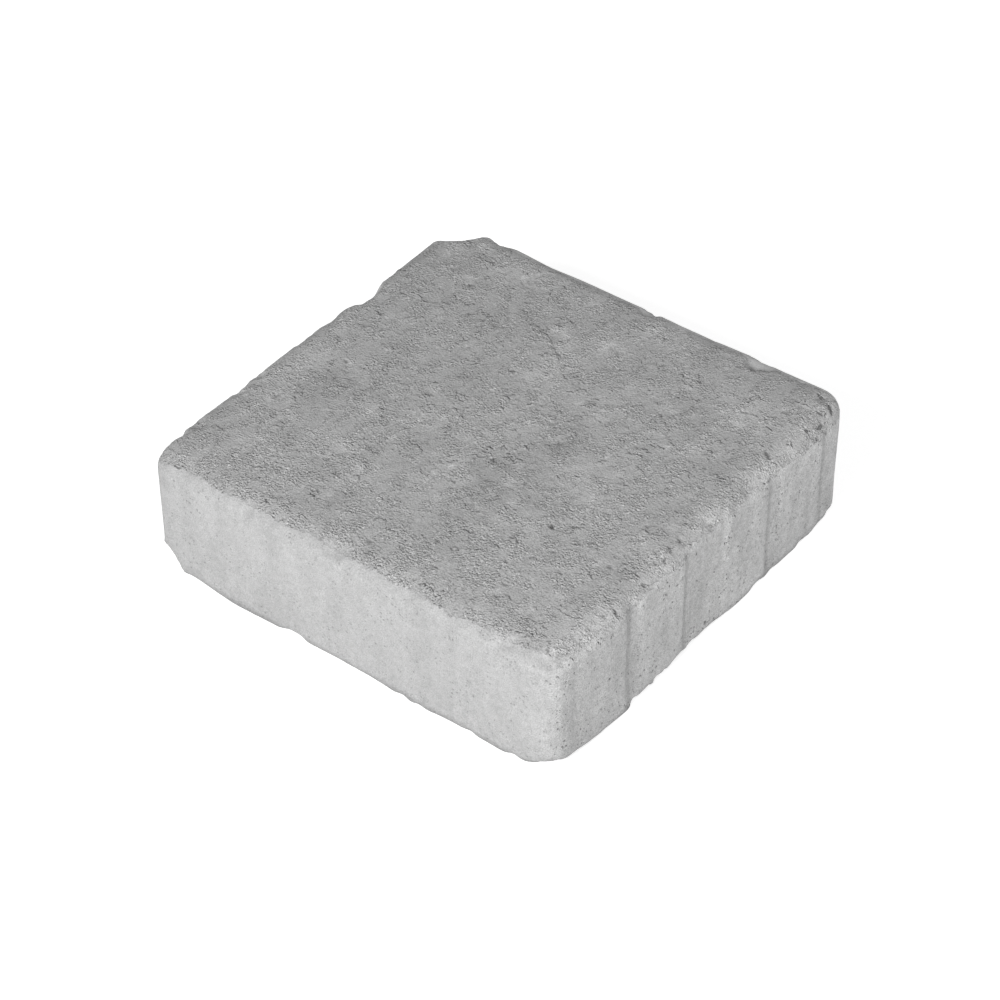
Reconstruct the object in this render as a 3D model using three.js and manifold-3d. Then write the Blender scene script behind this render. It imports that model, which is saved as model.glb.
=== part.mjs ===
// A square concrete paving stone, cast in one piece and then tumbled until its edges are worn.
// Two opposite sides carry moulded spacer panels, the other two are plain.
// Millimetres, +Z up, origin at the centre of the bed face that the stone lies on.

import * as THREE from 'three';
import { mergeVertices } from 'three/addons/utils/BufferGeometryUtils.js';
import Module from 'manifold-3d';

// The block, measured between its plain side faces.
const BODY_WIDTH = 171.2;
const BODY_DEPTH = 171.6;
const THICKNESS = 48.5;
const CORNER_RADIUS = 11.8;

// The spacer panels stand proud of the +X and -X sides and run out into the upper arris.
// Each pair gives where a panel starts and ends along the side.
const SPACER_PROUD = 0.8;
const SPACER_FLANK = 1.3;
const SPACER_SPANS = [[-72.9, -46.6], [-41.1, -14.7], [7.6, 34.1], [39.6, 67.1]];
const SPACER_TOP_GAP = 2;
const SPACER_RUNOUT = 4;

// The gaps between the panels run out into a plain foot over this height above the bed. The
// rounding of the corners takes the foot back, the faster the higher this power.
const PLAIN_FOOT = 9;
const FOOT_CORNER_FADE = 8;

// Drop of the worn upper arris down a plain side and down a panelled side: pairs of a place along
// the side and the drop there. Opposite sides are worn alike, turned half round. The arris reaches
// further in over the wearing face than down the side, by this factor.
const TOP_WEAR_LEAN = 1.9;
const TOP_WEAR_PLAIN = [
  [-80, 5.8], [-60, 6.3], [-45, 5.8], [-22, 6.5], [-5, 6.2], [25, 6.1], [42, 6.6], [60, 5.4],
  [80, 5.8],
];
const TOP_WEAR_PANELLED = [
  [-80, 4.6], [-60, 4.5], [-45, 4.2], [-22, 4], [-5, 3.9], [10, 4], [22, 4.6], [45, 4.7], [62, 4.4],
  [80, 5.8],
];

// Radius of the worn lower arris, listed in the same way.
const BED_WEAR_PLAIN = [
  [-80, 3], [-68, 4.7], [-48, 0.9], [-25, 2.1], [5, 3.2], [30, 0.9], [46, 2.7], [66, 1.8], [80, 5],
];
const BED_WEAR_PANELLED = [
  [-80, 6.5], [-73, 6.5], [-62, 3.4], [-47, 1.1], [-30, 2.8], [-15, 4.3], [0, 4.9], [18, 1.2],
  [38, 1.6], [60, 0.8], [70, 3], [80, 4],
];

// The wearing face falls a little towards its rim. It is uneven all over but for the rim: the
// higher the last value, the closer to the rim the unevenness runs.
const FACE_FALL = 0.9;
const FACE_FALL_WIDTH = 24;
const FACE_UNEVEN = 0.5;
const FACE_EVEN_RIM = 4;

// Depth of the slow hollow of the plain sides.
const SIDE_HOLLOW = 0.3;

// Slow swells of the wearing face, each a wave length, a share of its unevenness and a phase.
const FACE_SWELL = [[71, 0.5, 0.7], [43, 0.35, 2.6], [26, 0.15, 5.5]];

// The unevenness of a break, with its wave lengths and heights as shares of the scoop's radius.
const SCOOP_SWELL = [[2.3, 0.14, 0.9], [1.1, 0.08, 2.2]];

// How far the two families of waves in a swell lean off the X and Y directions.
const SWELL_LEAN = [0.37, -0.29];

// Pieces knocked off. Each break lies near a side of the block (edge: -1, 0 or 1 along X and Y, and
// 1 for the wearing face or 0 for the bed), with the offset of its middle from there, the radii of
// its scoop and its turn about Z in degrees.
const SPALLS = [
  { name: 'left_edge_notch', edge: [-1, 0, 1], offset: [-2.9, 30, -2], size: [8, 12, 9], turn: 8 },
  { name: 'back_corner_flat', edge: [-1, 1, 1], offset: [1.6, -2.8, 3.5], size: [17, 12.5, 13], turn: 48 },
  { name: 'back_corner_step', edge: [-1, 1, 1], offset: [19.6, 5.7, 1.5], size: [8, 7, 7], turn: 10 },
  { name: 'right_corner_top', edge: [1, 1, 1], offset: [-5.6, -5.8, 11.5], size: [22, 16, 13.5], turn: -48 },
  { name: 'front_edge_dip', edge: [0, -1, 1], offset: [44, -5.2, 4.5], size: [13, 8, 9], turn: 0 },
  { name: 'spacer_top_break', edge: [1, 0, 1], offset: [6.4, -8, 1.5], size: [8, 12, 9], turn: 0 },
  { name: 'bed_break', edge: [1, 0, 0], offset: [5.4, -5, -2], size: [6, 9, 9], turn: 0 },
  { name: 'bed_nick', edge: [0, -1, 0], offset: [33, -3.2, -3.5], size: [8, 5, 6], turn: 5 },
  { name: 'left_bed_nick', edge: [-1, -1, 0], offset: [3.6, 1.8, -1], size: [12, 8, 9], turn: -40 },
];

// Shallow nicks that tumbling leaves all the way along both arrises.
const NICK_COUNT = 76;
const NICK_RADIUS = [7, 14];
const NICK_DEPTH = [0.15, 0.5];
const NICK_STRETCH = [0.7, 1.5];
const NICK_BED_SHARE = 0.4;
const NICK_SEED = 27;

// Fineness of the mesh.
const PLAN_STEP = 5.5;
const ARC_STEP = 3;
const TOP_ARRIS_STEPS = 6;
const BED_ARRIS_STEPS = 4;
const SIDE_LEVELS = 4;
const FACE_RINGS = 7;
const SCOOP_DETAIL = 2;
const WELD_DISTANCE = 1e-4;

const CONCRETE = { color: 0x9f9f9f, roughness: 0.95, metalness: 0 };

const halfWidth = BODY_WIDTH / 2;
const halfDepth = BODY_DEPTH / 2;
const panelFace = halfWidth + SPACER_PROUD;
const faceRim = THICKNESS - FACE_FALL;
const quarter = Math.PI / 2;

const wasm = await Module();
wasm.setup();

// Plan outline of the sides, drawn anticlockwise: a plain side and a panelled side, and then
// the same again turned half round.
function planOutline() {
  const outline = new THREE.Path();
  outline.moveTo(-halfWidth + CORNER_RADIUS, -halfDepth);
  addHalfOutline(outline, 1);
  addHalfOutline(outline, -1);
  return outline;
}

// One plain side, the corner after it, a panelled side and its corner.
function addHalfOutline(outline, turn) {
  const arcX = (halfWidth - CORNER_RADIUS) * turn;
  const arcY = (halfDepth - CORNER_RADIUS) * turn;
  const facing = turn > 0 ? 0 : Math.PI;
  const firstMeet = cornerMeetAngle(SPACER_SPANS[0][0]);
  outline.lineTo(arcX, -halfDepth * turn);
  outline.absarc(arcX, -arcY, CORNER_RADIUS, facing - quarter, facing + firstMeet, false);
  for (const [from, to] of SPACER_SPANS) {
    outline.lineTo(bodySideAt(from) * turn, from * turn);
    outline.lineTo(panelFace * turn, (from + SPACER_FLANK) * turn);
    outline.lineTo(panelFace * turn, (to - SPACER_FLANK) * turn);
    outline.lineTo(bodySideAt(to) * turn, to * turn);
  }
  outline.lineTo(halfWidth * turn, arcY);
  outline.absarc(arcX, arcY, CORNER_RADIUS, facing, facing + quarter, false);
}

// Angle on the corner arc at which a panel that starts at this place meets it.
function cornerMeetAngle(place) {
  const past = Math.min(0, place + halfDepth - CORNER_RADIUS);
  return Math.asin(past / CORNER_RADIUS);
}

// How far out the body's own side lies at this place along it, corner rounding included.
function bodySideAt(place) {
  const past = Math.max(0, Math.abs(place) - (halfDepth - CORNER_RADIUS));
  return halfWidth - CORNER_RADIUS + Math.sqrt(CORNER_RADIUS ** 2 - past ** 2);
}

// Points along the outline, each with its outward direction and how far it stands proud.
function planStations() {
  const stations = [];
  for (const curve of planOutline().curves) {
    const step = curve.isEllipseCurve ? ARC_STEP : PLAN_STEP;
    const count = Math.ceil(curve.getLength() / step);
    for (let i = 0; i < count; i += 1) stations.push(stationAt(curve.getPoint(i / count)));
  }
  return stations.filter((station, i) => i === 0 || !sameStation(station, stations[i - 1]));
}

function stationAt(point) {
  const coreX = halfWidth - CORNER_RADIUS;
  const coreY = halfDepth - CORNER_RADIUS;
  const core = point.clone().clamp(new THREE.Vector2(-coreX, -coreY), new THREE.Vector2(coreX, coreY));
  const out = point.clone().sub(core);
  const proud = Math.max(0, out.length() - CORNER_RADIUS);
  return { core, out: out.normalize(), proud, place: point };
}

function sameStation(one, other) {
  return one.place.distanceTo(other.place) < WELD_DISTANCE;
}

// A slow swell over the plan: the sum of its waves at this place.
function swell(waves, { x, y }) {
  const alongX = x + SWELL_LEAN[0] * y;
  const alongY = y + SWELL_LEAN[1] * x;
  let sum = 0;
  for (const [length, height, phase] of waves) {
    const turns = (2 * Math.PI) / length;
    sum += height * Math.sin(turns * alongX + phase) * Math.cos(turns * alongY - phase);
  }
  return sum;
}

// The radius listed for a place along a side, eased from one pair to the next.
function listedRadius(list, place) {
  const after = list.findIndex(([at]) => at > place);
  if (after === 0) return list[0][1];
  if (after < 0) return list.at(-1)[1];
  const [[from, low], [to, high]] = [list[after - 1], list[after]];
  return THREE.MathUtils.lerp(low, high, THREE.MathUtils.smoothstep(place, from, to));
}

// Radii of both arrises at one station. A corner passes smoothly from one side to the next.
function wearAt({ out, place }) {
  const alongPlain = -Math.sign(out.y) * place.x;
  const alongPanelled = Math.sign(out.x) * place.y;
  const blend = (plain, panelled) => THREE.MathUtils.lerp(plain, panelled, out.x ** 2);
  const top = blend(
    listedRadius(TOP_WEAR_PLAIN, alongPlain),
    listedRadius(TOP_WEAR_PANELLED, alongPanelled),
  );
  const bed = blend(
    listedRadius(BED_WEAR_PLAIN, alongPlain),
    listedRadius(BED_WEAR_PANELLED, alongPanelled),
  );
  return { top, bed };
}

// The section at one station, from the rim of the bed up to the rim of the wearing face:
// pairs of inset from the side and height.
function sectionAt(wear) {
  const levels = [];
  for (let i = 0; i <= BED_ARRIS_STEPS; i += 1) {
    const angle = quarter * (i / BED_ARRIS_STEPS);
    levels.push([wear.bed * (1 - Math.sin(angle)), wear.bed * (1 - Math.cos(angle))]);
  }
  const shoulder = faceRim - wear.top;
  for (let i = 1; i < SIDE_LEVELS; i += 1) {
    levels.push([0, THREE.MathUtils.lerp(wear.bed, shoulder, i / SIDE_LEVELS)]);
  }
  for (let i = 0; i <= TOP_ARRIS_STEPS; i += 1) {
    const angle = quarter * (i / TOP_ARRIS_STEPS);
    const inset = TOP_WEAR_LEAN * wear.top * (1 - Math.cos(angle));
    levels.push([inset, shoulder + wear.top * Math.sin(angle)]);
  }
  return levels;
}

// How far the side stands proud of the body at this height: the panels, and the plain foot.
function projection({ proud, out }, height) {
  const { smoothstep } = THREE.MathUtils;
  const top = THICKNESS - SPACER_TOP_GAP;
  const panel = proud * (1 - smoothstep(height, top - SPACER_RUNOUT, top));
  const foot = SPACER_PROUD * (1 - smoothstep(height, 0, PLAIN_FOOT)) * Math.abs(out.x) ** FOOT_CORNER_FADE;
  return Math.max(panel, foot);
}

function sidePoint(station, [inset, height]) {
  const rise = Math.sin((Math.PI * height) / THICKNESS);
  const straightness = (station.out.x ** 2 - station.out.y ** 2) ** 2;
  const hollow = station.proud > 0 ? 0 : SIDE_HOLLOW * straightness * rise ** 2;
  const reach = CORNER_RADIUS + projection(station, height) - inset - hollow;
  const plan = station.core.clone().addScaledVector(station.out, reach);
  return new THREE.Vector3(plan.x, plan.y, height);
}

// Height of the wearing face, where rimShare is 0 in its middle and 1 at its rim.
function faceHeight(place, rimShare) {
  const fallStart = 1 - FACE_FALL_WIDTH / halfWidth;
  const fall = FACE_FALL * THREE.MathUtils.smoothstep(rimShare, fallStart, 1);
  const uneven = FACE_UNEVEN * (1 - rimShare ** FACE_EVEN_RIM) * (0.5 + 0.5 * swell(FACE_SWELL, place));
  return THICKNESS - fall - uneven;
}

function faceRing(rim, share) {
  return rim.map((point) => {
    const place = point.clone().multiplyScalar(share);
    place.z = faceHeight(place, share);
    return place;
  });
}

// Skins a stack of closed rings and closes each end on a middle point.
function loft(rings, bottomCentre, topCentre) {
  const positions = [];
  const add = (...points) => points.forEach((point) => positions.push(...point.toArray()));
  const count = rings[0].length;
  for (let i = 0; i < count; i += 1) {
    const next = (i + 1) % count;
    add(bottomCentre, rings[0][next], rings[0][i]);
    for (let k = 0; k + 1 < rings.length; k += 1) {
      const [low, high] = [rings[k], rings[k + 1]];
      add(low[i], low[next], high[next]);
      add(low[i], high[next], high[i]);
    }
    add(topCentre, rings.at(-1)[i], rings.at(-1)[next]);
  }
  const geometry = new THREE.BufferGeometry();
  geometry.setAttribute('position', new THREE.Float32BufferAttribute(positions, 3));
  return geometry;
}

// The moulded block with its rounded arrises, before anything is broken off.
function mouldedBlock(stations) {
  const sections = stations.map((station) => sectionAt(wearAt(station)));
  const levelCount = sections[0].length;
  const rings = [];
  for (let k = 0; k < levelCount; k += 1) {
    rings.push(stations.map((station, i) => sidePoint(station, sections[i][k])));
  }
  const rim = rings.at(-1);
  for (let k = 1; k < FACE_RINGS; k += 1) rings.push(faceRing(rim, 1 - k / FACE_RINGS));
  const bedCentre = new THREE.Vector3(0, 0, 0);
  const faceCentre = new THREE.Vector3(0, 0, faceHeight(bedCentre, 0));
  return loft(rings, bedCentre, faceCentre);
}

function toSolid(geometry) {
  const bare = geometry.clone();
  bare.deleteAttribute('normal');
  bare.deleteAttribute('uv');
  const merged = mergeVertices(bare, WELD_DISTANCE);
  const vertProperties = new Float32Array(merged.attributes.position.array);
  const triVerts = new Uint32Array(merged.index.array);
  return new wasm.Manifold(new wasm.Mesh({ numProp: 3, vertProperties, triVerts }));
}

function toGeometry(solid) {
  const { vertProperties, triVerts } = solid.getMesh();
  const geometry = new THREE.BufferGeometry();
  geometry.setAttribute('position', new THREE.BufferAttribute(vertProperties, 3));
  geometry.setIndex(new THREE.BufferAttribute(triVerts, 1));
  geometry.computeVertexNormals();
  return geometry;
}

// The uneven hollow that a break leaves, as a solid to cut away.
function scoop(middle, size, turn) {
  const geometry = new THREE.IcosahedronGeometry(1, SCOOP_DETAIL);
  const places = geometry.attributes.position;
  const place = new THREE.Vector3();
  for (let i = 0; i < places.count; i += 1) {
    place.fromBufferAttribute(places, i);
    const slant = { x: place.x + place.z, y: place.y - place.z };
    place.multiplyScalar(1 + swell(SCOOP_SWELL, slant));
    places.setXYZ(i, place.x, place.y, place.z);
  }
  geometry.scale(...size);
  geometry.rotateZ(THREE.MathUtils.degToRad(turn));
  geometry.translate(...middle);
  return toSolid(geometry);
}

// Middle of the upper or lower arris at a station, and the way out from it.
function arrisMiddle(station, onBed) {
  const wear = wearAt(station);
  const sunk = 1 - Math.SQRT1_2;
  const inset = (onBed ? wear.bed : TOP_WEAR_LEAN * wear.top) * sunk;
  const height = onBed ? wear.bed * sunk : faceRim - wear.top * sunk;
  const point = new THREE.Vector3(...sidePoint(station, [inset, height]));
  const out = new THREE.Vector3(station.out.x, station.out.y, onBed ? -1 : 1).normalize();
  return { point, out };
}

// Small scoops all along both arrises, laid out by a seeded draw.
function nicks() {
  const { seededRandom, lerp } = THREE.MathUtils;
  const between = ([least, most]) => lerp(least, most, seededRandom());
  const outline = planOutline();
  seededRandom(NICK_SEED);
  const scoops = [];
  for (let i = 0; i < NICK_COUNT; i += 1) {
    const station = stationAt(outline.getPointAt((i + seededRandom()) / NICK_COUNT));
    const { point, out } = arrisMiddle(station, seededRandom() < NICK_BED_SHARE);
    const radius = between(NICK_RADIUS);
    const middle = point.addScaledVector(out, radius - between(NICK_DEPTH));
    const size = [radius * between(NICK_STRETCH), radius, radius];
    scoops.push(scoop(middle.toArray(), size, 360 * seededRandom()));
  }
  return scoops;
}

// The scoop of one listed break, at its place on the block.
function spall({ edge, offset, size, turn }) {
  const block = [halfWidth, halfDepth, THICKNESS];
  const middle = offset.map((away, axis) => edge[axis] * block[axis] + away);
  return scoop(middle, size, turn);
}

function pavingStone() {
  let solid = toSolid(mouldedBlock(planStations()));
  for (const listed of SPALLS) solid = solid.subtract(spall(listed));
  for (const nick of nicks()) solid = solid.subtract(nick);
  const stone = new THREE.Mesh(toGeometry(solid), new THREE.MeshStandardMaterial(CONCRETE));
  stone.name = 'paving_stone';
  return stone;
}

const model = new THREE.Group();
model.add(pavingStone());

export default model;
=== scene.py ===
"""Looks of a tumbled concrete paving stone: its pitted wearing face, paler cast sides and worn edges."""

import math

import bpy
import numpy as np
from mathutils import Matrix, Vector
from mathutils.bvhtree import BVHTree


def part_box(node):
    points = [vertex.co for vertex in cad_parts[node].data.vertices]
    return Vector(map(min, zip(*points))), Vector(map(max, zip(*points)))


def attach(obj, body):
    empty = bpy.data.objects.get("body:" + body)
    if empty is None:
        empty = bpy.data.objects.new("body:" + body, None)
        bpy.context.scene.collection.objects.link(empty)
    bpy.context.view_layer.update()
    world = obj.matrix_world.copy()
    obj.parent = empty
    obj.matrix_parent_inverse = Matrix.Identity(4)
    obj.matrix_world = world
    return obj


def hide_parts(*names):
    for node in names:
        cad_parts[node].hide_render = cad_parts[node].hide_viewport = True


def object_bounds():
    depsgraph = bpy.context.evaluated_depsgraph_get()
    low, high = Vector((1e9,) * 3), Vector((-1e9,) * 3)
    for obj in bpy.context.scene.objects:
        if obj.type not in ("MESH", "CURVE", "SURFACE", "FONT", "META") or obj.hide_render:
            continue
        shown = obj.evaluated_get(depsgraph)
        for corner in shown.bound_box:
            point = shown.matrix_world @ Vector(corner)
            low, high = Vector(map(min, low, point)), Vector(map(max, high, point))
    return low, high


MM = 0.001
STONE = "paving_stone"

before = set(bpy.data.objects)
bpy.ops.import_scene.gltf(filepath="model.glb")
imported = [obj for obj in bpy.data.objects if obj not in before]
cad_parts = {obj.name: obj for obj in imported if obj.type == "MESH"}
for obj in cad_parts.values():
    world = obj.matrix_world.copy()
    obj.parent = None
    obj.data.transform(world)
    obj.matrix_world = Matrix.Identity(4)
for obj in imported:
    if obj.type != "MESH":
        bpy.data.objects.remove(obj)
cad_low, cad_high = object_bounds()
low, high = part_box(STONE)
TOP = high.z

# Plan of the block: half the width over the panels, half the depth, the corners' radius and how far
# out their middles lie.
HALF_WIDTH = high.x
HALF_DEPTH = high.y
CORNER_RADIUS = 11.8 * MM
CORNER_MIDDLE = np.array([HALF_WIDTH - CORNER_RADIUS, HALF_DEPTH - CORNER_RADIUS])

# Cells of the stone's skin. The wearing face is a square net whose rim runs down the sides.
FACE_CELLS = 232
ARRIS_ROWS = 20
SIDE_ROWS = 18
BED_ROWS = 6

# The rows over the upper and the lower arris fan out from this deep inside the stone, and the rays
# that find its surface come in from this far out.
ARRIS_REACH = 11 * MM
BED_REACH = 7 * MM
CAST_DISTANCE = 100 * MM

# Smoothing of the skin: its passes, the two pushes of each pass, how far apart two points may face
# and still follow each other, and how near the bed face a point stays where it is.
RELAX_PASSES = 40
SHRINK_PUSH, SWELL_PUSH = 0.5, -0.52
CRISP_SOFTNESS, CRUST_SOFTNESS = 0.03, 0.2
BED_CLEARANCE = 0.02 * MM

# A nick's ledge that is worn smooth: its place in metres, reach and passes.
WORN_LEDGE = (Vector((0.0845, 0.0285, 0.0445)), 7 * MM, 60)

# The lowest strip of the sides, where the relief fades out above the bed face, in millimetres.
RELIEF_FADE = 1.2

# Height of the crust's lower edge along a plain side and along a panelled side: pairs of a place
# along the side and the climb to the edge, in millimetres up the side and then in over the arris.
CRUST_EDGE_PLAIN = [
    (-80, 49), (-74, 49.1), (-69, 50.1), (-64, 50.6), (-58, 49.5), (-50, 49.4), (-45.5, 50.3), (-40, 49.2),
    (-35, 49.8), (-24.5, 49.3), (-20, 50.3), (-15.5, 51.6), (-9.4, 49.7), (6, 49.8), (13, 50), (18.3, 48.9),
    (23, 49.9), (27.3, 50.4), (32.5, 49.8), (38, 48.8), (43, 47.7), (47, 49.8), (51.4, 50.4), (56.3, 50.2),
    (61.6, 49.1), (65.3, 50.3), (70, 50.6), (74, 52.2), (80, 52),
]
CRUST_EDGE_PANELLED = [
    (-80, 51), (-73.7, 50), (-60.7, 47.1), (-47, 45), (-40, 46.1), (-29, 46.5), (-19.4, 43.5), (-12.5, 45.8),
    (-5, 48.4), (2.2, 46.3), (10.6, 46.5), (24.7, 46.5), (33.6, 44.7), (45, 44.2), (63, 43), (80, 42.5),
]

# Where the panels of a panelled side start and end, and the smooth band before the first of them,
# in millimetres along the side.
PANELS = [(-72.9, -46.6), (-41.1, -14.7), (7.6, 34.1), (39.6, 67.1)]
CORNER_BAND = (-79.6, -73.4)

# The larger cracks and pits of the wearing face: x, y, length, width and depth in millimetres, and
# turn in degrees.
CRACKS = [
    (-34.6, 40.3, 2.8, 1.0, 0.5, -25), (-31.8, 41.5, 2.4, 1.0, 0.5, 24), (-7.2, 40.9, 4, 1.4, 0.5, -20),
    (-14.1, 23.9, 3, 1.0, 0.5, 28), (9.5, -17.6, 2.8, 1.0, 0.6, -25), (61.8, 53.8, 4, 1.4, 0.5, 15),
    (79.6, 40.8, 5.6, 1.3, 0.8, -32), (-60.5, -16.0, 2.8, 1.0, 0.5, -20), (-63.4, -6.5, 3.3, 1.3, 0.5, -20),
    (-63.7, -43.1, 3, 1.2, 0.4, 0), (44.9, -32.5, 3.6, 1.8, 0.6, -40), (51.0, -27.8, 3, 1.6, 0.5, 14),
    (70.6, -36.5, 2.6, 1.6, 0.5, 0), (31.4, -48.2, 3, 1.0, 0.5, -7), (19.7, -60.2, 3, 1.1, 0.5, 0),
    (26.5, -58.6, 2.6, 1.1, 0.4, -10), (49.1, -63.3, 3.4, 1.2, 0.5, 5), (12.0, -39.6, 3, 1.1, 0.4, 0),
    (22.9, -31.8, 3, 1.1, 0.4, 10), (52.6, -42.3, 2.2, 1.1, 0.5, 30), (14.9, 46.9, 2.8, 1.1, 0.5, 19),
    (31.2, 43.0, 2.2, 1.3, 0.4, 74), (54.4, 36.4, 2.7, 1.0, 0.4, 29), (-4.9, 65.2, 2.8, 1.8, 0.4, 80),
    (2.2, -73.2, 4.2, 1.2, 0.5, -6), (-23.8, -50.4, 2.4, 1.1, 0.4, 60), (-70.4, -35.4, 3, 1.1, 0.5, -2),
    (-72.4, -25.1, 2.2, 1.1, 0.5, -5), (69.1, -13.6, 3, 1.2, 0.5, -29), (78.1, -4.5, 2.8, 1.0, 0.5, -11),
    (81.0, -12.1, 4.5, 1.2, 0.6, -30), (80.7, -17.3, 4, 1.2, 0.6, -25), (82.4, -22.5, 3, 1.2, 0.6, -35),
    (80.7, -25.6, 3, 1.2, 0.5, -20), (83.5, -50.6, 3.4, 1.2, 0.7, -29), (81.8, -55.2, 2.6, 1.2, 0.5, 40),
    (83.3, -35.0, 2.6, 1.4, 0.6, -43), (82.5, 60.5, 3.6, 1.5, 0.7, -19), (81.6, 70.5, 3.6, 1.3, 0.6, 7),
    (82.4, 75.6, 6, 1.6, 0.8, -35), (76.4, 79.0, 4, 1.5, 0.5, -6), (64.9, -72.0, 2.2, 1.1, 0.5, -38),
    (73.0, -74.1, 2.5, 1.0, 0.4, -4), (77.7, -78.3, 2, 1.0, 0.4, -25), (84.8, 66.0, 1.4, 4.5, 0.7, 0),
]

# Chips of the +X side: y, z and the rest as above.
SIDE_CHIPS = [
    (-1.6, 4.6, 2.6, 1.6, 0.9, 40), (-39, 24, 2, 0.9, 0.3, 60), (22, 26, 1.8, 1, 0.3, 20),
    (-28, 12, 2, 1, 0.3, 80),
]

# Smooth lumps of the wearing face and of the cast sides: height and width in millimetres, and seed.
FACE_LUMPS = [(0.07, 7, 31), (0.06, 3.2, 32)]
SIDE_LUMPS = [(0.07, 12, 41), (0.03, 4, 42)]

# Round pits: width of the cells they are drawn in, share of the cells that have one, smallest and
# largest radius, smallest and largest depth in millimetres, and seed.
SMALL_PITS = (3.6 * MM, 0.15, (0.7 * MM, 1.4 * MM), (0.15, 0.4), 61)
LARGE_PITS = (9 * MM, 0.2, (1.2 * MM, 2.4 * MM), (0.3, 0.6), 62)
SIDE_PITS = (6 * MM, 0.3, (0.7 * MM, 1.2 * MM), (0.15, 0.4), 63)

# Length of the shuffled lists behind the noise and the pits, a power of two, and what brings the
# noise to about -1 to 1.
DRAWS = 512
NOISE_GAIN = 1.6

# Painted shade on a panelled side, where its steps and the turned corner fall in shade: before its first
# panel, in the gaps, up to each panel's end, in the line that runs up behind that end, in the line at the
# first panel and in the smooth band at the corner; and a plain darkening over the far part of the side.
OUTER_PAINTED_SHADE, GAP_PAINTED_SHADE, PANEL_END_PAINTED_SHADE = 0.2, 0.22, 0.28
END_LINE_PAINTED_SHADE, FIRST_LINE_PAINTED_SHADE, FAR_DARKENING, CORNER_BAND_PAINTED_SHADE = 0.8, 0.45, 0.15, 0.5


# ---------------------------------------------------------------- the skin of the stone

def rim_walk():
    """Net places round the rim of the wearing face, anticlockwise from the front left corner."""
    n = FACE_CELLS
    front = [(i, 0) for i in range(n)]
    right = [(n, j) for j in range(n)]
    back = [(n - i, n) for i in range(n)]
    left = [(0, n - j) for j in range(n)]
    return front + right + back + left


def rim_place(u, v):
    """A place on the rim of the square from -1 to 1, taken to the stone's plan, and the way out from it."""
    middle = Vector(CORNER_MIDDLE)
    place = Vector((u * HALF_WIDTH, v * HALF_DEPTH))
    nearest = Vector((max(-middle.x, min(middle.x, place.x)), max(-middle.y, min(middle.y, place.y))))
    out = (place - nearest).normalized()
    return nearest + out * CORNER_RADIUS, out


def face_place(i, j):
    """Plan of one net place: a square in the middle that eases into the rounded rim."""
    u, v = 2 * i / FACE_CELLS - 1, 2 * j / FACE_CELLS - 1
    size = max(abs(u), abs(v))
    if size == 0:
        return Vector((0, 0))
    rim, out = rim_place(u / size, v / size)
    square = Vector((u * (HALF_WIDTH - ARRIS_REACH), v * (HALF_DEPTH - ARRIS_REACH)))
    return square.lerp((rim - out * ARRIS_REACH) * size, size ** 3)


def section_rays():
    """Rays for the rows below the wearing face: inset and height of each start, and its tilt."""
    rays = []
    for k in range(1, ARRIS_ROWS + 1):
        rays.append((ARRIS_REACH, TOP - ARRIS_REACH, math.pi / 2 * (1 - k / ARRIS_ROWS)))
    for k in range(1, SIDE_ROWS + 1):
        height = TOP - ARRIS_REACH + (BED_REACH + ARRIS_REACH - TOP) * k / (SIDE_ROWS + 1)
        rays.append((ARRIS_REACH, height, 0))
    for k in range(BED_ROWS + 1):
        rays.append((BED_REACH, BED_REACH, -math.pi / 2 * k / BED_ROWS))
    return rays


def lay_skin():
    """Casts the net onto the stone from outside. Gives its points and its faces."""
    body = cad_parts[STONE].data
    surface = BVHTree.FromPolygons([v.co for v in body.vertices], [p.vertices for p in body.polygons])

    def meet(start, way):
        found = surface.ray_cast(start + way * CAST_DISTANCE, -way)[0]
        return tuple(found)

    points = []
    for j in range(FACE_CELLS + 1):
        for i in range(FACE_CELLS + 1):
            points.append(meet(face_place(i, j).to_3d(), Vector((0, 0, 1))))
    rim = [rim_place(2 * i / FACE_CELLS - 1, 2 * j / FACE_CELLS - 1) for i, j in rim_walk()]
    for inset, height, tilt in section_rays():
        for place, out in rim:
            start = (place - out * inset).to_3d() + Vector((0, 0, height))
            points.append(meet(start, Vector((*(out * math.cos(tilt)), math.sin(tilt)))))
    return np.array(points), skin_faces()


def skin_faces():
    """Corners of the skin's faces, and the ring round the bed face."""
    side = FACE_CELLS + 1
    corner = np.arange(side * side).reshape(side, side)
    face = np.stack([corner[:-1, :-1], corner[:-1, 1:], corner[1:, 1:], corner[1:, :-1]], -1).reshape(-1, 4)
    rows = [np.array([j * side + i for i, j in rim_walk()])]
    count = len(rows[0])
    for k in range(len(section_rays())):
        rows.append(side * side + k * count + np.arange(count))
    bands = [face]
    for above, below in zip(rows, rows[1:]):
        bands.append(np.stack([above, below, np.roll(below, -1), np.roll(above, -1)], -1))
    return np.concatenate(bands), rows[-1][::-1]


def point_normals(points, quads):
    """Unit normals of the skin's points, weighted by the size of the faces round them."""
    across = points[quads[:, 2]] - points[quads[:, 0]]
    down = points[quads[:, 3]] - points[quads[:, 1]]
    way = np.cross(across, down)
    total = np.zeros_like(points)
    for k in range(4):
        np.add.at(total, quads[:, k], way)
    return total / np.maximum(np.linalg.norm(total, axis=1, keepdims=True), 1e-12)


def skin_edges(quads):
    """The two ends of each edge of the skin, each edge once."""
    sides = np.concatenate([quads[:, [k, (k + 1) % 4]] for k in range(4)])
    return np.unique(np.sort(sides, axis=1), axis=0).T


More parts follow.
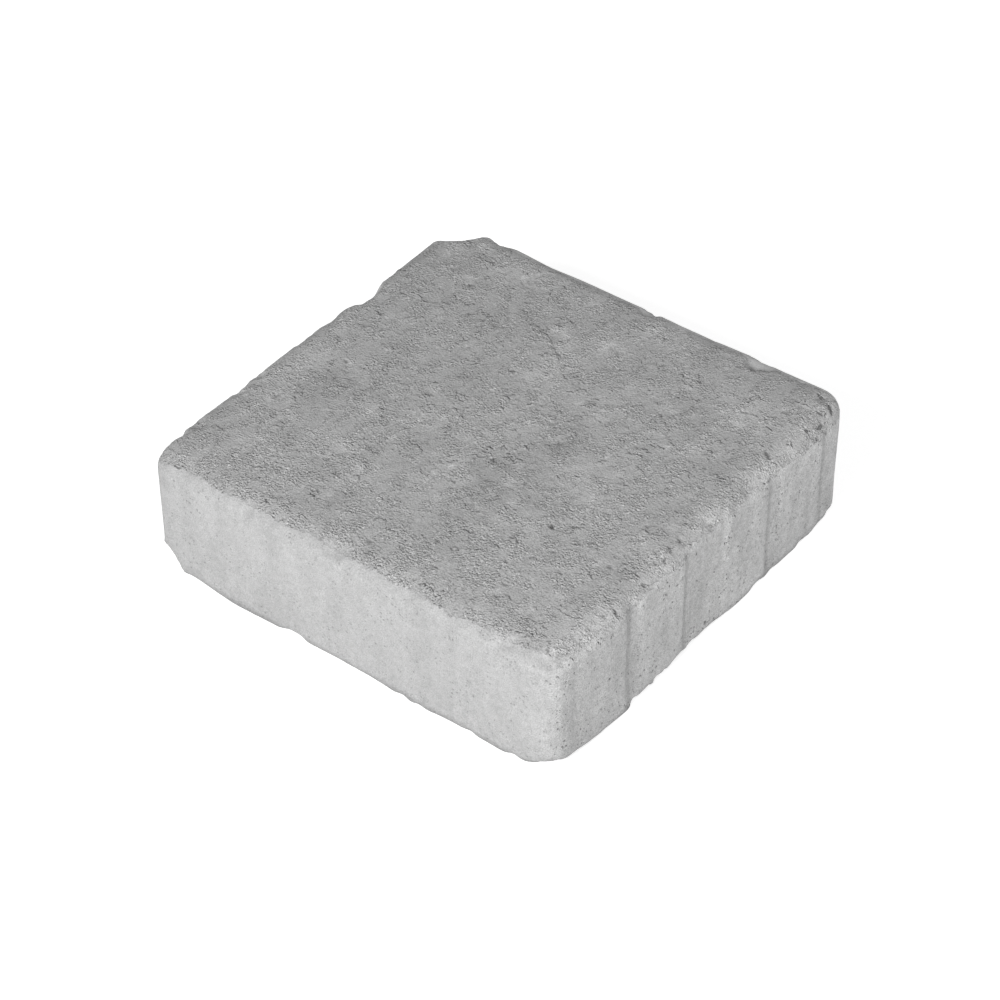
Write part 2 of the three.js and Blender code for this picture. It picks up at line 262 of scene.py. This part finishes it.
def relax(points, quads, passes, softness):
    """Evens out the facets and keeps the crisp edges: a point follows neighbours that face its way.
    The second push of each pass swells back what the first shrank."""
    a, b = skin_edges(quads)
    normals = point_normals(points, quads)
    pull = np.exp((np.sum(normals[a] * normals[b], axis=1) - 1) / (softness[a] + softness[b]))
    total = np.bincount(a, pull, len(points)) + np.bincount(b, pull, len(points))
    fixed = points[:, 2] < BED_CLEARANCE
    for share in [SHRINK_PUSH, SWELL_PUSH] * passes:
        step = np.empty_like(points)
        for axis in range(3):
            gap = (points[b, axis] - points[a, axis]) * pull
            step[:, axis] = np.bincount(a, gap, len(points)) - np.bincount(b, gap, len(points))
        step /= np.maximum(total, 1e-9)[:, None]
        step[fixed] = 0
        points = points + share * step
    return points


def ease_spot(points, quads, spot, reach, passes):
    """Smooths one spot of the skin, the more the nearer its middle."""
    a, b = skin_edges(quads)
    share = np.exp(-np.sum(((points - np.array(spot)) / reach) ** 2, axis=1))
    count = np.bincount(a, minlength=len(points)) + np.bincount(b, minlength=len(points))
    for _ in range(passes):
        step = np.empty_like(points)
        for axis in range(3):
            gap = points[b, axis] - points[a, axis]
            step[:, axis] = np.bincount(a, gap, len(points)) - np.bincount(b, gap, len(points))
        points = points + SHRINK_PUSH * share[:, None] * step / count[:, None]
    return points


# ---------------------------------------------------------------- noise and steps

def draw_of(order, cells):
    """Which of the draws each cell of the grid has, from the shuffled order."""
    x, y, z = (cells & (DRAWS - 1)).T
    return order[(order[(order[x] + y) & (DRAWS - 1)] + z) & (DRAWS - 1)]


def drift(points, cell, seed):
    """Smooth noise from about -1 to 1 whose lumps are one cell wide."""
    chance = np.random.default_rng(seed)
    slopes = chance.normal(size=(DRAWS, 3))
    slopes /= np.linalg.norm(slopes, axis=1, keepdims=True)
    order = chance.permutation(DRAWS)
    place = points / cell
    base = np.floor(place).astype(int)
    part = place - base
    ease = part ** 3 * (part * (part * 6 - 15) + 10)
    total = np.zeros(len(points))
    for corner in np.ndindex(2, 2, 2):
        pick = draw_of(order, base + corner)
        weight = np.prod(np.where(corner, ease, 1 - ease), axis=1)
        total += weight * np.sum(slopes[pick] * (part - corner), axis=1)
    return total * NOISE_GAIN


def lumps(points, listed_lumps):
    return sum(height * drift(points, width * MM, seed) for height, width, seed in listed_lumps)


def dimples(points, cell, share, radii, depths, seed):
    """Depth of scattered round pits, about one to a cell where its draw is below the share."""
    chance = np.random.default_rng(seed)
    order = chance.permutation(DRAWS)
    middle = chance.random((DRAWS, 3))
    draw = chance.random(DRAWS)
    radius = chance.uniform(*radii, DRAWS)
    depth = chance.uniform(*depths, DRAWS)
    base = np.floor(points / cell).astype(int)
    total = np.zeros(len(points))
    for step in np.ndindex(3, 3, 3):
        spot = base + step - 1
        pick = draw_of(order, spot)
        away = np.linalg.norm(points - (spot + middle[pick]) * cell, axis=1) / radius[pick]
        bowl = depth[pick] * np.clip(1 - away ** 2, 0, 1) ** 0.8
        total = np.maximum(total, np.where(draw[pick] < share, bowl, 0))
    return total


def steps(value, start, end):
    """Eases from 0 at the start to 1 at the end."""
    part = np.clip((value - start) / (end - start), 0, 1)
    return part * part * (3 - 2 * part)


def plan_inset(points):
    """How far each point lies inside the outline of the sides."""
    outside = np.maximum(np.abs(points[:, :2]) - CORNER_MIDDLE, 0)
    inside = np.min(CORNER_MIDDLE - np.abs(points[:, :2]), axis=1)
    reach = np.linalg.norm(outside, axis=1)
    return CORNER_RADIUS - np.where(reach > 0, reach, -np.maximum(inside, 0))


# ---------------------------------------------------------------- the stone

def listed(pairs, place):
    """Reads a value off a list of (place along a side, value) pairs."""
    return np.interp(place, *np.array(pairs).T)


def side_blend(points, plain, panelled):
    """A value listed along a plain side and along a panelled side, eased round the corners, and the
    share of the panelled side in it. Opposite sides take the same list, turned half round."""
    out = points[:, :2] - np.clip(points[:, :2], -CORNER_MIDDLE, CORNER_MIDDLE)
    inner = np.linalg.norm(out, axis=1) < 1e-9
    out[inner] = (points[:, :2] / CORNER_MIDDLE)[inner] ** 5
    share = out[:, 0] ** 2 / np.maximum(np.sum(out ** 2, axis=1), 1e-18)
    along_plain = listed(plain, -np.sign(out[:, 1]) * points[:, 0] / MM)
    along_panelled = listed(panelled, np.sign(out[:, 0]) * points[:, 1] / MM)
    return along_plain * (1 - share) + along_panelled * share, share


def crust_depth(points):
    """Millimetres above the lower edge of the dark crust, measured over the arris, and the share of
    the panelled side."""
    edge, share = side_blend(points, CRUST_EDGE_PLAIN, CRUST_EDGE_PANELLED)
    climb = (points[:, 2] + plan_inset(points)) / MM
    return climb - edge, share


def strokes(points, listed_strokes):
    """Depth of the listed cracks: two places, length, width, depth and turn."""
    total = np.zeros(len(points))
    for x, y, length, width, depth, turn in listed_strokes:
        a = math.radians(turn)
        dx, dy = points[:, 0] / MM - x, points[:, 1] / MM - y
        along = (dx * math.cos(a) + dy * math.sin(a)) / (length / 2)
        across = (dy * math.cos(a) - dx * math.sin(a)) / (width / 2)
        bowl = depth * np.clip(1 - along ** 2 - across ** 2, 0, 1) ** 0.5
        total = np.maximum(total, bowl)
    return total


def soft_line(place, middle, width):
    return np.exp(-((place - middle) / width) ** 2)


def painted_shade(points, crust, share):
    """Painted shade on the panelled sides: in the gaps, and most in the line behind each panel's end."""
    place = np.sign(points[:, 0]) * points[:, 1] / MM
    first = PANELS[0][0]
    total = steps(place, first, first - 1) * OUTER_PAINTED_SHADE
    for start, end in PANELS:
        total = np.maximum(total, GAP_PAINTED_SHADE * steps(place, end - 0.5, end + 0.5))
        total *= 1 - steps(place, start - 0.8, start + 0.2) * steps(place, end, end - 0.5)
        on_panel = (place < end) * (place > start)
        total += PANEL_END_PAINTED_SHADE * np.exp(-np.maximum(end - place, 0) / 4) * on_panel
        total += END_LINE_PAINTED_SHADE * soft_line(place, end + 0.7, 1.15)
    total += FIRST_LINE_PAINTED_SHADE * soft_line(place, first + 0.6, 1.6) + FAR_DARKENING * steps(place, -35, -60)

    # The smooth band at the corner, which turns from the light, is painted in shade too.
    band_start, band_end = CORNER_BAND
    band = steps(place, band_start - 0.8, band_start + 0.8) * steps(place, band_end + 0.5, band_end)
    below = steps(crust, 2, -1)
    on_side, on_corner = steps(share, 0.8, 0.99), steps(share, 0.3, 0.6)
    return below * np.maximum(total * on_side, CORNER_BAND_PAINTED_SHADE * band * on_corner)


def relief(points, crust, share):
    """How deep each point lies below the smooth stone, in millimetres, and how much of it is pit or crack."""
    on_crust = steps(crust + 0.8 * drift(points, 2.5 * MM, 11), -0.8, 0.8)
    near_edge = np.exp(-((crust - 2 * share) / (2.2 + 2.5 * share)) ** 2)
    crowded = steps(drift(points, 26 * MM, 21) + 0.5 * drift(points, 11 * MM, 22), -0.5, 0.6)

    face_rough = lumps(points, FACE_LUMPS) + (0.05 + 0.07 * crowded) * drift(points, 1.7 * MM, 33)
    side_rough = lumps(points, SIDE_LUMPS)
    crumbs = 0.2 * drift(points, 2.1 * MM, 51) + (0.1 + 0.05 * share) * drift(points, 4.5 * MM, 52)
    rough = on_crust * face_rough + (1 - on_crust) * side_rough + near_edge * crumbs

    small = dimples(points, *SMALL_PITS) * (0.35 + 0.65 * crowded)
    sparse = dimples(points, *SIDE_PITS) * (0.35 + 0.65 * share)
    pits = on_crust * np.maximum(small, dimples(points, *LARGE_PITS)) + (1 - on_crust) * sparse
    on_face = points[:, 2] > TOP / 2
    on_right_side = points[:, 0] > HALF_WIDTH - 3 * MM
    cracks = on_face * strokes(points[:, [0, 1]], CRACKS)
    cracks = cracks + on_right_side * strokes(points[:, [1, 2]], SIDE_CHIPS)

    # The crust lies a little deeper than the sides, and both dip towards its edge.
    lip = 0.12 * (1 - on_crust) * np.exp(np.minimum(crust, 0) / 4.0)
    flat = (0.15 + 0.25 * share) * near_edge + 0.18 * on_crust + 0.1
    return np.maximum(flat + lip - rough, 0) + np.maximum(pits, cracks), pits, cracks


def shape_skin():
    """Casts the skin, smooths it and works the relief into it. Gives its points and faces, and what its
    material needs to know at each point."""
    points, (quads, bed_ring) = lay_skin()
    crust, panelled = crust_depth(points)
    points = relax(points, quads, RELAX_PASSES, CRISP_SOFTNESS + CRUST_SOFTNESS * steps(crust, -1, 3))
    points = ease_spot(points, quads, *WORN_LEDGE)
    crust, panelled = crust_depth(points)
    depth, pits, cracks = relief(points, crust, panelled)
    painted_shades = painted_shade(points, crust, panelled)
    depth *= steps(points[:, 2] / MM, 0, RELIEF_FADE)
    points = points - point_normals(points, quads) * depth[:, None] * MM
    points = np.clip(points, np.array(cad_low), np.array(cad_high))
    stored = {"crust": crust, "panelled": panelled, "pit": pits, "crack": cracks, "painted_shade": painted_shades}
    return points.tolist(), quads.tolist() + [bed_ring.tolist()], stored


def make_stone():
    """The stone's skin as one piece."""
    points, faces, stored = shape_skin()
    mesh = bpy.data.meshes.new("stone_skin")
    mesh.from_pydata(points, [], faces)
    mesh.validate()
    mesh.shade_smooth()
    for name, values in stored.items():
        mesh.attributes.new(name, "FLOAT", "POINT").data.foreach_set("value", values.astype(np.float32))
    skin = bpy.data.objects.new("stone_skin", mesh)
    bpy.context.scene.collection.objects.link(skin)
    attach(skin, "root")
    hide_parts(STONE)
    return skin


# ---------------------------------------------------------------- concrete

# Shades as base colours: the crust by its edge on either kind of side and further in, then the cast
# sides by the foot and higher up, and how much darker a plain side is painted just under the crust,
# as shade against the light that its rounded arris catches.
CRUST_EDGE_TONE_PLAIN, CRUST_EDGE_TONE_PANELLED, CRUST_TONE = 0.412, 0.446, 0.402
PLAIN_FOOT_TONE, PLAIN_TONE, UNDER_CRUST_PAINTED_SHADE = 0.462, 0.482, 0.032
PANELLED_FOOT_TONE, PANELLED_TONE = 0.478, 0.495

# Share of the tone that is left under painted shade: in a pit, in a crack and on the panelled sides.
PIT_PAINTED_SHADE, CRACK_PAINTED_SHADE, PAINTED_SHADE_LEFT = 0.9, 0.45, 0.76

# How far the grain and the flakes are read towards -Y, to find the sides that are turned from it,
# which are painted in shade, and those turned to it, which are painted lighter.
GRAIN_STEP, FLAKE_STEP = (0.0, -0.42, 0.0), (0.0, -0.6, 0.0)


class Mix:
    """Adds nodes to one material. Sizes are in millimetres on the stone."""

    def __init__(self, name):
        self.material = bpy.data.materials.new(name)
        self.material.use_nodes = True
        self.tree = self.material.node_tree
        self.shader = self.tree.nodes["Principled BSDF"]
        place = self.tree.nodes.new("ShaderNodeTexCoord").outputs["Object"]
        self.place = self.vector("SCALE", place, 1 / MM)

    def put(self, value, socket):
        """Feeds a socket from another node or sets it to a value."""
        if isinstance(value, bpy.types.NodeSocket):
            self.tree.links.new(value, socket)
        else:
            socket.default_value = value

    def vector(self, operation, *values):
        node = self.tree.nodes.new("ShaderNodeVectorMath")
        node.operation = operation
        sockets = [socket for socket in node.inputs if socket.enabled]
        for socket, value in zip(sockets, values):
            self.put(value, socket)
        return node.outputs[0]

    def math(self, operation, a, b=0.0, c=0.0):
        node = self.tree.nodes.new("ShaderNodeMath")
        node.operation = operation
        for socket, value in zip(node.inputs, (a, b, c)):
            self.put(value, socket)
        return node.outputs[0]

    def times(self, a, b):
        return self.math("MULTIPLY", a, b)

    def weighed(self, value, weight, base=1.0):
        """A value times its weight on top of the base."""
        return self.math("MULTIPLY_ADD", value, weight, base)

    def span(self, value, start, end, low=0.0, high=1.0):
        """Eases from low to high while the value goes from start to end."""
        node = self.tree.nodes.new("ShaderNodeMapRange")
        node.interpolation_type = "SMOOTHSTEP"
        ends = {"Value": value, "From Min": start, "From Max": end, "To Min": low, "To Max": high}
        for name, amount in ends.items():
            self.put(amount, node.inputs[name])
        return node.outputs[0]

    def blend(self, share, a, b):
        """All a where the share is 0 and all b where it is 1."""
        return self.math("MULTIPLY_ADD", share, self.math("SUBTRACT", b, a), a)

    def attribute(self, name):
        node = self.tree.nodes.new("ShaderNodeAttribute")
        node.attribute_name = name
        return node.outputs["Fac"]

    def noise(self, size, detail=0.0, seed=0.0, place=None, colour=False):
        """Smooth noise round one half whose lumps have that size."""
        node = self.tree.nodes.new("ShaderNodeTexNoise")
        node.noise_dimensions = "4D"
        self.put(place or self.place, node.inputs["Vector"])
        self.put(seed, node.inputs["W"])
        self.put(1 / size, node.inputs["Scale"])
        self.put(detail, node.inputs["Detail"])
        return node.outputs["Color" if colour else "Fac"]

    def bowls(self, spacing, share, smallest, widest, place):
        """Round bowls, 1 in their middle and 0 outside, in that share of the cells."""
        node = self.tree.nodes.new("ShaderNodeTexVoronoi")
        self.put(place, node.inputs["Vector"])
        self.put(1 / spacing, node.inputs["Scale"])
        chance = self.tree.nodes.new("ShaderNodeSeparateColor")
        self.put(node.outputs["Color"], chance.inputs[0])
        radius = self.weighed(chance.outputs[1], (widest - smallest) / spacing, smallest / spacing)
        there = self.math("LESS_THAN", chance.outputs[0], share)
        away = self.math("DIVIDE", node.outputs["Distance"], radius)
        bowl = self.weighed(away, self.times(away, -1.0))
        return self.times(self.math("MAXIMUM", bowl, 0.0), there)

    def ripple(self, tone, noise, amount):
        """Tone made lighter and darker by a noise that lies round one half."""
        swing = self.times(self.weighed(noise, 2.0, -1.0), amount)
        return self.math("MULTIPLY_ADD", tone, swing, tone)


class Concrete(Mix):
    """The marks that the tone and the relief of the concrete share, and what is made of them."""

    def __init__(self):
        super().__init__("concrete")
        self.crust, self.panelled = self.attribute("crust"), self.attribute("panelled")

        # The crust's ragged lower edge: crisp on the plain sides, crumbling on the panelled sides.
        ragged = self.weighed(self.noise(1.3, 2.0, 1.0), 5.0, -2.35)
        ragged = self.weighed(ragged, self.by_side(1.0, 2.6), self.crust)
        self.covered = self.span(ragged, -0.3, 0.3)

        # Places for the grain, which is stretched along X, and for larger marks, bent out of line too.
        self.drawn = self.vector("MULTIPLY", self.place, (0.9, 1.25, 1.0))
        bend = self.noise(2.2, 2.0, 7.0, colour=True)
        self.bent = self.vector("MULTIPLY_ADD", bend, (2.0, 2.0, 2.0), self.drawn)

        # Grain, and how granular the face is, which elsewhere is a smooth film.
        self.granular = self.span(self.noise(5.0, 3.0, 8.0), 0.42, 0.6, 0.2, 1.0)
        self.fine = self.noise(0.45, 1.0, 9.0)
        self.coarse = self.noise(1.2, 2.0, 18.0, self.bent)
        self.crumbs = self.span(self.coarse, 0.64, 0.72)
        self.grain = self.grains_at(self.drawn)

        # Thin flakes, and the patches in which they are broken and stand up.
        self.flake = self.flakes_at(self.bent)
        self.broken = self.span(self.noise(5.0, 1.0, 20.0), 0.5, 0.65)

        self.voids = self.round_voids()

    def by_side(self, on_plain, on_panelled):
        """One value on the plain sides and another on the panelled sides."""
        return self.span(self.panelled, 0.0, 1.0, on_plain, on_panelled)

    def grains_at(self, place):
        return self.noise(0.75, 2.0, 14.0, place)

    def flakes_at(self, place):
        return self.span(self.noise(2.9, 2.0, 19.0, place), 0.55, 0.57)

    def round_voids(self):
        """Round voids: open and deep ones in the crust, and pin holes in the sides."""
        open_voids = self.times(self.bowls(1.5, 0.15, 0.2, 0.45, self.bent), self.granular)
        deep_voids = self.bowls(3.6, 0.05, 0.4, 0.8, self.bent)
        crowded = self.span(self.noise(8.0, 1.0, 13.0), 0.4, 0.6, 0.3, 1.0)
        pin_share = self.times(self.by_side(0.4, 1.0), crowded)
        pin_holes = self.times(self.bowls(1.2, 0.5, 0.2, 0.5, self.bent), pin_share)
        return self.blend(self.covered, pin_holes, self.math("MAXIMUM", open_voids, deep_voids))

    def hair_cracks(self):
        """Hair cracks of the sides, which run in patches; the tone paints shade in them."""
        off = self.math("ABSOLUTE", self.math("SUBTRACT", self.noise(1.3, 1.0, 16.0, self.bent), 0.5))
        cracked = self.span(self.noise(3.0, 2.0, 17.0), 0.6, 0.65)
        return self.times(self.span(off, 0.015, 0.05, 1.0, 0.0), cracked)

    def painted_ledge_light(self):
        """Painted shadow and highlight along the broken edges of flakes: dark where they turn from -Y,
        a little pale where they turn to it.
        """
        nearer_flake = self.flakes_at(self.vector("ADD", self.bent, FLAKE_STEP))
        ledge = self.times(self.math("SUBTRACT", nearer_flake, self.flake), self.broken)
        painted_ledge_shadow = self.weighed(self.math("MAXIMUM", ledge, 0.0), -0.6)
        return self.weighed(self.math("MINIMUM", ledge, 0.0), -0.12, painted_ledge_shadow)

    def crust_tone(self):
        on_plain = self.span(self.crust, 1.0, 20.0, CRUST_EDGE_TONE_PLAIN, CRUST_TONE)
        on_panelled = self.span(self.crust, 0.0, 18.0, CRUST_EDGE_TONE_PANELLED, CRUST_TONE)
        tone = self.blend(self.panelled, on_plain, on_panelled)
        tone = self.ripple(tone, self.noise(19.0, 1.0, 2.0), 0.24)
        tone = self.ripple(tone, self.noise(6.0, 3.0, 3.0), 0.13)
        smear = self.span(self.noise(6.0, 4.0, 4.0), 0.57, 0.72)
        tone = self.weighed(smear, 0.07, tone)
        tone = self.times(tone, self.span(self.granular, 0.2, 1.0, 1.0, 1.2))
        tone = self.times(tone, self.weighed(self.crumbs, 0.06))

        # Grains lean to either side: those turned to -Y are painted lighter and those turned from it are
        # painted in shade, as light from -Y would fall on them.
        grain_light_and_shade = self.math("SUBTRACT", self.grain, self.grains_at(self.vector("ADD", self.drawn, GRAIN_STEP)))
        grain_painted_shade = self.times(self.span(grain_light_and_shade, -0.1, -0.18), self.granular)
        tone = self.times(tone, self.weighed(self.times(grain_light_and_shade, self.granular), 1.3))
        tone = self.times(tone, self.weighed(grain_painted_shade, -0.55))
        return self.times(tone, self.painted_ledge_light())

    def side_tone(self):
        on_plain = self.span(self.crust, -34.0, -14.0, PLAIN_FOOT_TONE, PLAIN_TONE)
        # A plain side is painted in shade just under the crust, against the light its rounded arris catches.
        under_crust_shade = self.span(self.crust, -12.0, -6.0, 0.0, UNDER_CRUST_PAINTED_SHADE)
        under_crust_shade = self.times(under_crust_shade, self.span(self.crust, -5.0, -1.0, 1.0, 0.5))
        on_plain = self.math("SUBTRACT", on_plain, under_crust_shade)
        on_panelled = self.span(self.crust, -28.0, -5.0, PANELLED_FOOT_TONE, PANELLED_TONE)
        tone = self.blend(self.panelled, on_plain, on_panelled)

        # Streaks up and down the sides, and cloudy marks.
        upright = self.vector("MULTIPLY", self.place, (1.0, 1.0, 0.3))
        tone = self.ripple(tone, self.noise(7.0, 3.0, 5.0, upright), self.by_side(0.18, 0.28))
        return self.ripple(tone, self.noise(2.2, 3.0, 6.0), self.by_side(0.18, 0.24))

    def tone(self):
        """Base colour of crust and sides, with speckle, and with painted shade in their voids, cracks and
        pits and on the panelled sides.
        """
        tone = self.blend(self.covered, self.side_tone(), self.crust_tone())
        # Voids, hair cracks, pits and cracks are painted in shade, and so are the steps of the panelled
        # sides.
        tone = self.times(tone, self.weighed(self.voids, self.blend(self.covered, -0.9, -0.2)))
        hair_crack_shade = self.blend(self.covered, self.by_side(-0.15, -0.25), 0.0)
        tone = self.times(tone, self.weighed(self.hair_cracks(), hair_crack_shade))
        tone = self.times(tone, self.span(self.attribute("pit"), 0.1, 0.9, 1.0, PIT_PAINTED_SHADE))
        tone = self.times(tone, self.span(self.attribute("crack"), 0.1, 0.5, 1.0, CRACK_PAINTED_SHADE))
        tone = self.times(tone, self.span(self.attribute("painted_shade"), 0.0, 1.0, 1.0, PAINTED_SHADE_LEFT))
        crust_speckle = self.span(self.granular, 0.2, 1.0, 0.5, 0.8)
        speckle = self.blend(self.covered, self.by_side(0.42, 0.6), crust_speckle)
        return self.ripple(tone, self.fine, speckle)

    def height(self):
        """Height of the fine relief in millimetres."""
        grains = self.span(self.grain, 0.46, 0.6, 0.0, 0.36)
        grit = self.span(self.noise(0.6, 1.0, 15.0, self.drawn), 0.38, 0.62, 0.0, 0.3)
        chipped = self.span(self.noise(1.3, 1.0, 11.0, self.bent), 0.66, 0.74)
        rough = self.times(self.math("ADD", grains, grit), self.granular)
        rough = self.weighed(chipped, -0.4, rough)
        rough = self.weighed(self.times(self.flake, self.broken), 0.3, rough)
        rough = self.weighed(self.crumbs, 0.15, rough)
        cast = self.times(self.math("ADD", self.fine, self.coarse), self.by_side(0.18, 0.4))
        return self.weighed(self.voids, -0.3, self.blend(self.covered, cast, rough))


def make_concrete():
    """Cast concrete: a dark grainy crust over the wearing face and its arrises, and paler, smoother sides."""
    mix = Concrete()
    mix.put(mix.tone(), mix.shader.inputs["Base Color"])
    bump = mix.tree.nodes.new("ShaderNodeBump")
    bump.inputs["Distance"].default_value = MM
    mix.put(mix.height(), bump.inputs["Height"])
    mix.put(bump.outputs["Normal"], mix.shader.inputs["Normal"])
    mix.put(mix.blend(mix.covered, 0.85, 0.93), mix.shader.inputs["Roughness"])
    mix.shader.inputs["Specular IOR Level"].default_value = 0.3
    return mix.material


skin = make_stone()
skin.data.materials.append(make_concrete())


# ---------------------------------------------------------------- studio

# The lamps: name, azimuth and elevation in degrees, distance and size in metres, and power in watts.
LAMPS = [("key", 3, 36, 1.4, 0.35, 15.2), ("fill", 90, 25, 1.4, 0.7, 8.3), ("back", 180, 15, 1.4, 0.7, 1)]
ROOM_LIGHT = 0.3

# The floor is pale, and so bright to the camera that it shows white where no shadow falls.
FLOOR_REACH, FLOOR_COLOUR, FLOOR_GLOW = 4.0, (0.8, 0.8, 0.8, 1), 0.6

# The camera: azimuth and elevation in degrees, distance in metres, lens in millimetres and shift as
# shares of the picture.
CAMERA_AZIMUTH, CAMERA_ELEVATION, CAMERA_DISTANCE = 37.48, 40.48, 0.9855
CAMERA_LENS, CAMERA_SHIFT = 103.876, (-0.002575, -0.02464)


def way_from(azimuth, elevation):
    """The way from the stone to a place round it. Azimuth 0 stands on the -Y side, 90 on the +X side."""
    a, e = math.radians(azimuth), math.radians(elevation)
    return Vector((math.sin(a) * math.cos(e), -math.cos(a) * math.cos(e), math.sin(e)))


def make_floor():
    """A plain floor that keeps the stone's shadow and glows to the camera alone."""
    mesh = bpy.data.meshes.new("floor")
    corners = [(x * FLOOR_REACH, y * FLOOR_REACH, 0) for x, y in ((-1, -1), (1, -1), (1, 1), (-1, 1))]
    mesh.from_pydata(corners, [], [(0, 1, 2, 3)])
    floor = bpy.data.objects.new("floor", mesh)
    bpy.context.scene.collection.objects.link(floor)
    material = bpy.data.materials.new("floor")
    material.use_nodes = True
    tree = material.node_tree
    shader = tree.nodes["Principled BSDF"]
    shader.inputs["Base Color"].default_value = FLOOR_COLOUR
    shader.inputs["Roughness"].default_value = 1
    shader.inputs["Specular IOR Level"].default_value = 0
    glow = tree.nodes.new("ShaderNodeEmission")
    path = tree.nodes.new("ShaderNodeLightPath")
    both = tree.nodes.new("ShaderNodeAddShader")
    pick = tree.nodes.new("ShaderNodeMixShader")
    glow.inputs["Strength"].default_value = FLOOR_GLOW
    tree.links.new(shader.outputs[0], both.inputs[0])
    tree.links.new(glow.outputs[0], both.inputs[1])
    tree.links.new(path.outputs["Is Camera Ray"], pick.inputs[0])
    tree.links.new(shader.outputs[0], pick.inputs[1])
    tree.links.new(both.outputs[0], pick.inputs[2])
    tree.links.new(pick.outputs[0], tree.nodes["Material Output"].inputs[0])
    mesh.materials.append(material)


def make_world(strength):
    """Even light from all round, behind a white that only the camera sees."""
    world = bpy.data.worlds.new("studio")
    bpy.context.scene.world = world
    world.use_nodes = True
    tree = world.node_tree
    air = tree.nodes["Background"]
    air.inputs["Color"].default_value = (1, 1, 1, 1)
    air.inputs["Strength"].default_value = strength
    white = tree.nodes.new("ShaderNodeBackground")
    white.inputs["Color"].default_value = (1, 1, 1, 1)
    white.inputs["Strength"].default_value = 1
    path = tree.nodes.new("ShaderNodeLightPath")
    pick = tree.nodes.new("ShaderNodeMixShader")
    tree.links.new(path.outputs["Is Camera Ray"], pick.inputs[0])
    tree.links.new(air.outputs[0], pick.inputs[1])
    tree.links.new(white.outputs[0], pick.inputs[2])
    tree.links.new(pick.outputs[0], tree.nodes["World Output"].inputs[0])


def make_lamp(name, azimuth, elevation, distance, size, power):
    """A square lamp aimed at the stone."""
    way = way_from(azimuth, elevation)
    lamp = bpy.data.lights.new(name, "AREA")
    lamp.shape = "SQUARE"
    lamp.size = size
    lamp.energy = power
    holder = bpy.data.objects.new(name, lamp)
    holder.location = Vector((0, 0, TOP / 2)) + way * distance
    holder.rotation_euler = way.to_track_quat("Z", "Y").to_euler()
    bpy.context.scene.collection.objects.link(holder)


def make_camera():
    back = way_from(CAMERA_AZIMUTH, CAMERA_ELEVATION)
    data = bpy.data.cameras.new("camera")
    data.sensor_width = 36
    data.lens = CAMERA_LENS
    data.shift_x, data.shift_y = CAMERA_SHIFT
    camera = bpy.data.objects.new("camera", data)
    camera.location = Vector((0, 0, TOP / 2)) + back * CAMERA_DISTANCE
    camera.rotation_euler = back.to_track_quat("Z", "Y").to_euler()
    bpy.context.scene.collection.objects.link(camera)
    bpy.context.scene.camera = camera


make_floor()
make_world(ROOM_LIGHT)
for lamp in LAMPS:
    make_lamp(*lamp)
make_camera()
bpy.context.scene.view_settings.view_transform = "Standard"
